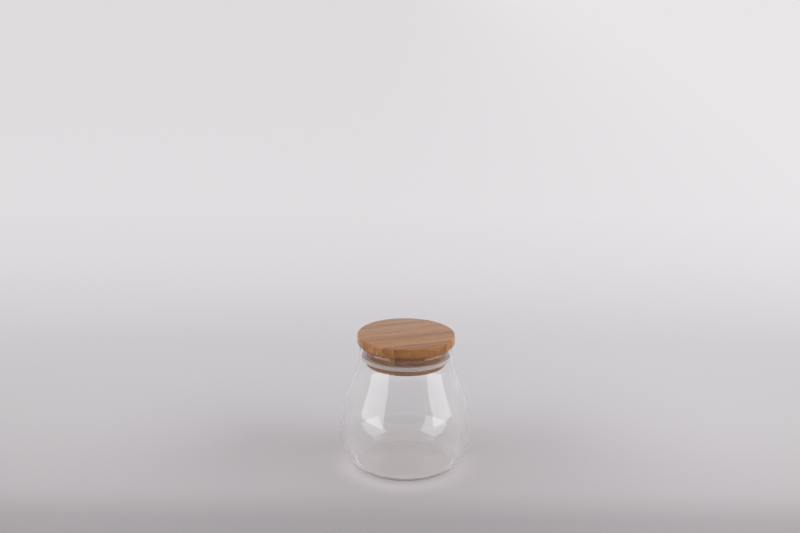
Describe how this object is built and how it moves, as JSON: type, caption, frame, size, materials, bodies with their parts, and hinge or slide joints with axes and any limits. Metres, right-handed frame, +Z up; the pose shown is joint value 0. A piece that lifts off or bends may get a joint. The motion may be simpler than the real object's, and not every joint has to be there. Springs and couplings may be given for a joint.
{
  "type": "glass storage jar with bamboo lid",
  "caption": "Round-bellied clear glass storage jar, empty, shut by a turned bamboo stopper lid with a silicone lip seal.",
  "frame": {"origin": "middle of the foot, on the surface that the jar stands on", "axes": "+Z up, along the axis that every piece is turned about; +X and +Y are alike, and the bamboo's grain runs about 20 degrees from +X towards +Y"},
  "size_m": [0.1, 0.1, 0.105],
  "materials": {
    "clear_glass": "clear, flame polished",
    "bamboo": "laminated bamboo, fine sanded and lightly oiled",
    "silicone": "translucent milky silicone, satin"
  },
  "bodies": {
    "root": {"glass_jar": "clear_glass", "bamboo_lid": "bamboo", "seal_ring": "silicone"}
  },
  "joints": []
}
